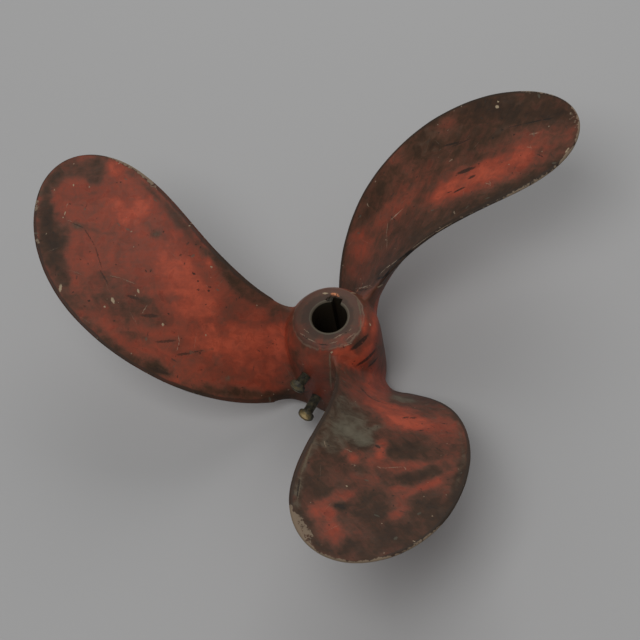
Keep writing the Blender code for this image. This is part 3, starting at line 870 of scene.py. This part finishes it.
place = add("TexCoord", out="Object")
broad, middling, fine, flecks, smudges, coats, scabs = (
    add("TexNoise", {"Vector": place, "Scale": 1 / size, **dict(zip(NOISE_KIND, kind))})
    for size, *kind in NOISES
)
brushed = add("UVMap", out="UV", uv_map="skin")
brushed = add("Mapping", {"Vector": brushed, "Scale": (1 / BRUSH_WIDTH, 1 / BRUSH_LENGTH, 1)})
streaks = {"Vector": brushed, "Scale": 1.0, "Detail": 3.0, "Roughness": 0.6, "Distortion": 0.3}
streaks = add("TexNoise", streaks)
UNEVENNESS = ((broad, 0.44), (middling, 0.7), (streaks, 0.24), (fine, 0.14))
tone, patina, edge, bare_edge, painted_shade, mark_metal = (
    add("Attribute", out="Fac", attribute_name=name)
    for name in ("red", "patina", "edge", "bare_edge", "painted_shade", "mark_metal")
)
tone = add("Math", tone, -sum(share for _, share in UNEVENNESS) / 2, **PLUS)
for pattern, share in UNEVENNESS:
    tone = add("Math", pattern, share, tone, **TIMES_PLUS)
colour = add("ValToRGB", tone, stops=PAINT_STOPS)

# Verdigris lies in the bare hollows; the blades' rims are painted dark as shade on the edges' thickness,
# with the metal showing through in flecks
GREEN_MOTTLE = 1.1
RIM_MOTTLE = 0.9
BARE_AT_RIM = 0.9
BARE_FLECKS = 1.9
VERDIGRIS_STOPS = ((0.0, "#4a3a29"), (1.0, "#7b7664"))
green = add("Math", middling, GREEN_MOTTLE, patina, **TIMES_PLUS)
verdigris = add("ValToRGB", add("MapRange", green, 0.8, 1.6), stops=VERDIGRIS_STOPS)
painted_rim_shade = add("Math", middling, RIM_MOTTLE, edge, **TIMES_PLUS)
bare = add("Math", edge, BARE_AT_RIM, bare_edge, **TIMES_PLUS)
bare = add("Math", flecks, BARE_FLECKS, bare, **TIMES_PLUS)

# The turned end of the hub: a bright chamfer round the bore, dark turned bronze, brown paint, and a rubbed
# rim that isn't quite true to the bore. The bore and the keyway are painted near black as the shade inside
# them.
RING_STOPS = (
    (0.0, "#463a30"), (0.36, "#4b3c32"), (0.46, "#5e483b"), (0.7, "#62453a"),
    (0.82, "#64493d"), (0.88, "#8b7563"), (0.93, "#6b4a3f"),
)
RING_START = 14 * MM
RING_END = 30 * MM
RING_CENTRE = (-1.3 * MM, 0.5 * MM, 0)
RING_WAVER = 3.6 * MM
RING_GRAIN = 2.2 * MM
CHAMFER_WAVER = 0.25
CHAMFER_REACH = 16.2 * MM
SLOT_REACH = BORE_RADIUS + KEYWAY_DEPTH + 0.4 * MM
flat = add("VectorMath", place, (1, 1, 0), **TIMES)
from_shaft = add("VectorMath", flat, out="Value", operation="LENGTH")
waver = add("Math", middling, RING_WAVER, -(RING_WAVER + RING_GRAIN) / 2, **TIMES_PLUS)
waver = add("Math", fine, RING_GRAIN, waver, **TIMES_PLUS)
from_ring = add("VectorMath", flat, RING_CENTRE, out="Value", operation="DISTANCE")
from_ring = add("Math", from_ring, waver, **PLUS)
from_chamfer = add("Math", waver, CHAMFER_WAVER, from_shaft, **TIMES_PLUS)
ring = add("ValToRGB", add("MapRange", from_ring, RING_START, RING_END), stops=RING_STOPS)
level = add("SeparateXYZ", place, out="Z")

# The fine marks: the place along and across the nearest one, shaken a little, over its half length and
# half width
SHAKE = 2.6
SHAKE_SIZE = 1.25 * MM
shaken = {"Vector": place, "Scale": 1 / SHAKE_SIZE, "Detail": 4.0, "Roughness": 0.65}
shaken = add("TexNoise", shaken, out="Color")
shaken = add("VectorMath", shaken, (SHAKE, SHAKE, 0), (-SHAKE / 2, -SHAKE / 2, 0), **TIMES_PLUS)
mark_place, mark_extent = (
    add("Attribute", out="Vector", attribute_name=name) for name in ("mark_at", "mark_size")
)
mark_place = add("VectorMath", mark_place, shaken, **PLUS)
mark_place = add("VectorMath", mark_place, mark_extent, operation="DIVIDE")
mark_way = add("VectorMath", mark_place, out="Value", operation="LENGTH")
mark_hue, mark_amount = (add("Attribute", out=out, attribute_name="mark_hue") for out in ("Color", "Alpha"))

# Each cover sets in at one level of its pattern, is full at the next, and then hides this much of what
# is under it. Smudges of grease and coats of paint that have let go in turn lie lowest.
SOFT = {"interpolation_type": "SMOOTHSTEP"}
COVERS = {
    "smudge": (smudges, 0.5, 0.72, 0.3),
    "coat": (coats, 0.5, 0.53, 0.3),
    "scab": (scabs, 0.6, 0.64, 0.28),
    "verdigris": (green, 0.75, 1.35, 0.78),
    "ring_red": (tone, 0.45, 0.8, 0.5),
    "near_end": (level, AFT_END - 5 * MM, AFT_END - 3 * MM, 1.0),
    "inside_rim": (from_ring, RING_END, RING_END - 1.6 * MM, 0.9),
    "at_chamfer": (from_chamfer, CHAMFER_REACH, CHAMFER_REACH - 0.6 * MM, 0.7),
    "below_end": (level, AFT_END - 0.5 * MM, AFT_END - 1.5 * MM, 1.0),
    "at_bore": (from_shaft, SLOT_REACH + 0.6 * MM, SLOT_REACH, 0.95),
    "painted_rim_shade": (painted_rim_shade, 0.75, 1.07, 0.8),
    "bare": (bare, 2.25, 2.45, 0.8),
    "mark": (mark_way, 1.2, 0.7, 1.0),
    "worn_mark": (fine, 0.15, 0.45, 1.0),
}
cover = {
    name: add("MapRange", pattern, start, full, 0.0, most, **SOFT)
    for name, (pattern, start, full, most) in COVERS.items()
}
cover["painted_shade"] = painted_shade
cover["ring"] = add("Math", cover["near_end"], cover["inside_rim"], **TIMES)
cover["chamfer"] = add("Math", cover["at_chamfer"], cover["ring"], **TIMES)
cover["bore"] = add("Math", cover["below_end"], cover["at_bore"], **TIMES)
cover["mark"] = add("Math", cover["mark"], mark_amount, **TIMES)
cover["mark"] = add("Math", cover["mark"], cover["worn_mark"], **TIMES)
ring = add("Mix", {0: cover["ring_red"], 6: ring, 7: colour}, out=2, data_type="RGBA")
for name, over, way in (
    ("smudge", linear("#5f4a3d"), "MIX"),
    ("coat", linear("#dccfc8"), "MULTIPLY"),
    ("scab", linear("#a8958a"), "MULTIPLY"),
    ("verdigris", verdigris, "MIX"),
    ("ring", ring, "MIX"),
    ("chamfer", linear("#6e6757"), "MIX"),
    # painted shade inside the bore and the keyway
    ("bore", linear("#2d2a20"), "MIX"),
    ("painted_rim_shade", linear("#352b22"), "MIX"),
    ("bare", linear("#93806a"), "MIX"),
    # painted shade on the hub's sides and about the blades' feet
    ("painted_shade", linear("#2a1a13"), "MIX"),
    ("mark", mark_hue, "MIX"),
):
    colour = add("Mix", {0: cover[name], 6: colour, 7: over}, out=2, data_type="RGBA", blend_type=way)
RELIEF = (
    (middling, 0.5), (fine, 0.16), (cover["coat"], -0.4), (cover["scab"], -0.35), (streaks, 0.12),
    (cover["mark"], -0.5), (cover["bare"], -0.3),
)
height = 0.0
for pattern, share in RELIEF:
    height = add("Math", pattern, share, height, **TIMES_PLUS)
PAINT_ROUGHNESS = 0.42
ROUGHNESS_SPREAD = 0.25
for socket, value in (
    ("Base Color", colour),
    ("Metallic", add("Math", cover["mark"], mark_metal, **TIMES)),
    ("Roughness", add("Math", fine, ROUGHNESS_SPREAD, PAINT_ROUGHNESS, **TIMES_PLUS)),
    ("Normal", add("Bump", {"Height": height, "Distance": 0.35 * MM, "Strength": 0.6})),
):
    tree.links.new(value, shader.inputs[socket])
shader.inputs["Specular IOR Level"].default_value = 0.24
mesh.materials.clear()
mesh.materials.append(paint)

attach(casting, "root")
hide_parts("propeller_casting")

# The two locking screws: M8 brass machine screws with round slotted heads, turned and rolled, screwed
# through the hub's wall on to the shaft. Both are tarnished nearly black; each head has a rubbed spot with
# a painted highlight, and the lower one's is rubbed to yellow metal.
SHANK_RADIUS = 4 * MM
SCREW_LENGTH = 32 * MM
POINT_CHAMFER = 1 * MM
THREAD_PITCH = 1.25 * MM
THREAD_DEPTH = 0.65 * MM
HEAD_RADIUS = 6.5 * MM
HEAD_HEIGHT = 5.5 * MM
HEAD_RIM_HEIGHT = 2 * MM
HEAD_UNDERCUT = 0.4 * MM
SLOT_WIDTH = 1.8 * MM
SLOT_DEPTH = 2.4 * MM
SCREW_STEPS = 64
DOME_STEPS = 16
THREAD_START = 1 * MM
THREAD_SAMPLES = 8
THREAD_FLANK = 1.3
THREAD_CREST = 0.15
THREAD_RUN_OUT = 0.5
SCREW_SHARP_ANGLE = math.radians(32)
# Each head's rubbed spot sits this far to the upper side of the dome's apex, where the highlight falls, and
# has this strength on each screw
HIGHLIGHT_SIDE = -2.2 * MM
RUBBED_HIGHLIGHT_GAIN = 1.35
SCREW_RUBBED_AND_HIGHLIGHT = {"upper": 0.3, "lower": 0.95}


def screw_piece(name):
    """A screw with its rolled thread and its slot, in the frame of the part."""
    angle, height, seat, slot_turn = SCREW_PLACES[name]
    crown = HEAD_HEIGHT - HEAD_RIM_HEIGHT
    dome = [
        (HEAD_RADIUS * math.sin(turn), HEAD_RIM_HEIGHT + crown * math.cos(turn))
        for turn in np.linspace(0, math.pi / 2, DOME_STEPS)
    ]
    neck = [(HEAD_RADIUS, HEAD_UNDERCUT), (HEAD_RADIUS - HEAD_UNDERCUT, 0), (SHANK_RADIUS, 0)]
    thread_end = POINT_CHAMFER - SCREW_LENGTH
    thread_levels = np.arange(-THREAD_START, thread_end, -THREAD_PITCH / THREAD_SAMPLES)
    shank = [(SHANK_RADIUS, level) for level in thread_levels]
    point = [(SHANK_RADIUS - POINT_CHAMFER, -SCREW_LENGTH), (0, -SCREW_LENGTH)]
    made = turned_mesh(name, dome + neck + shank + point, SCREW_STEPS)
    for vert in made.vertices:
        below = -vert.co.z / MM - THREAD_RUN_OUT
        if abs(vert.co.xy.length - SHANK_RADIUS) < TURNED_WELD and below > 0:
            turn = math.atan2(vert.co.y, vert.co.x) / (2 * math.pi)
            wave = abs(2 * ((vert.co.z / THREAD_PITCH - turn) % 1) - 1)
            groove = THREAD_DEPTH * min(max(THREAD_FLANK * wave - THREAD_CREST, 0), 1) * min(below, 1)
            vert.co.xy *= 1 - groove / SHANK_RADIUS
    piece = new_object(f"{name}_set_screw", made)
    slot_size = (4 * HEAD_RADIUS, SLOT_WIDTH, 2 * SLOT_DEPTH)
    combine(piece, slot_cutter("slot", slot_size, (0, 0, HEAD_HEIGHT), slot_turn), "DIFFERENCE")
    # The spot is rubbed metal with a painted highlight: brightest at the spot, fading to the tarnish at the
    # head's rim
    rubbed_highlight_spot = Vector((HIGHLIGHT_SIDE, 0, HEAD_HEIGHT))
    away = [(vert.co - rubbed_highlight_spot).length / HEAD_RADIUS for vert in piece.data.vertices]
    rubbed_and_highlight = [SCREW_RUBBED_AND_HIGHLIGHT[name] * min(max(RUBBED_HIGHLIGHT_GAIN * (1 - way), 0), 1) for way in away]
    piece.data.attributes.new("rubbed_and_highlight", "FLOAT", "POINT").data.foreach_set("value", rubbed_and_highlight)
    piece.data.transform(along_radius(angle, height) @ Matrix.Translation((0, 0, seat)))
    piece.data.shade_smooth()
    piece.data.set_sharp_from_angle(angle=SCREW_SHARP_ANGLE)
    return piece


# Tarnish and old grease over brass: dull, dark and a little green, and yellow metal where fingers and
# spanners rub, with the palest yellow as a painted highlight on the rubbed spot
brass, tree, shader = new_material("tarnished_brass")
BRASS_STOPS = ((0.0, "#24211a"), (0.25, "#4e4935"), (0.5, "#7d6d48"), (1.0, "#ecd098"))
MOTTLE_SIZE = 2.5 * MM
MOTTLE_SHARE = 1.1
WEAR_AND_HIGHLIGHT_START = 0.45
METAL_SHOWS = (0.1, 0.8)
TARNISH_ROUGHNESS = 0.64
RUBBED_SMOOTHER = 0.4
place = add("TexCoord", out="Object")
mottle = add("TexNoise", {"Vector": place, "Scale": 1 / MOTTLE_SIZE, "Detail": 4.0, "Roughness": 0.6})
wear_and_highlight = add("Attribute", out="Fac", attribute_name="rubbed_and_highlight")
wear_and_highlight = add("Math", wear_and_highlight, -WEAR_AND_HIGHLIGHT_START, **PLUS)
wear_and_highlight = add("Math", mottle, MOTTLE_SHARE, wear_and_highlight, use_clamp=True, **TIMES_PLUS)
for socket, value in (
    ("Base Color", add("ValToRGB", wear_and_highlight, stops=BRASS_STOPS)),
    ("Metallic", add("MapRange", wear_and_highlight, *METAL_SHOWS, **SOFT)),
    ("Roughness", add("Math", wear_and_highlight, -RUBBED_SMOOTHER, TARNISH_ROUGHNESS, **TIMES_PLUS)),
    ("Normal", add("Bump", {"Height": mottle, "Distance": 0.12 * MM, "Strength": 0.6})),
):
    tree.links.new(value, shader.inputs[socket])
for name in SCREW_PLACES:
    screw = screw_piece(name)
    screw.data.materials.clear()
    screw.data.materials.append(brass)
    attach(screw, "root")
    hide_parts(f"set_screw_{name}")

# The setting: a sheet of grey paper in a grey room, with a broad lamp over the camera's left shoulder and
# a weaker one behind to the right. Each lamp has its watts, its side, its place and what it points at.
FLOOR_REACH = 6
LAMPS = (
    ("key", 39, 1.6, (-0.74, -1.12, 3.36), (0, 0, 0)),
    ("back", 13, 1.6, (0.6, 1.5, 1.6), (0, 0.3, 0)),
)
ROOM_GREY = (0.5, 0.5, 0.5, 1)
ROOM_LIGHT = 0.5
bm = bmesh.new()
bmesh.ops.create_grid(bm, x_segments=1, y_segments=1, size=FLOOR_REACH)
bmesh.ops.translate(bm, vec=(0, 0, FORWARD_END), verts=bm.verts)
floor_mesh = new_mesh("floor", bm)
paper, tree, shader = new_material("grey_paper")
shader.inputs["Base Color"].default_value = linear("#bbbbbb")
shader.inputs["Roughness"].default_value = 0.9
floor_mesh.materials.append(paper)
new_object("floor", floor_mesh)
for name, power, width, position, target in LAMPS:
    lamp = new_object(name, bpy.data.lights.new(name, "AREA"))
    lamp.data.energy = power
    lamp.data.size = width
    lamp.location = position
    lamp.rotation_euler = (Vector(target) - lamp.location).to_track_quat("-Z", "Y").to_euler()
world = bpy.data.worlds.new("world")
bpy.context.scene.world = world
world.use_nodes = True
room = world.node_tree.nodes["Background"]
room.inputs["Color"].default_value = ROOM_GREY
room.inputs["Strength"].default_value = ROOM_LIGHT
bpy.context.scene.view_settings.view_transform = "Standard"
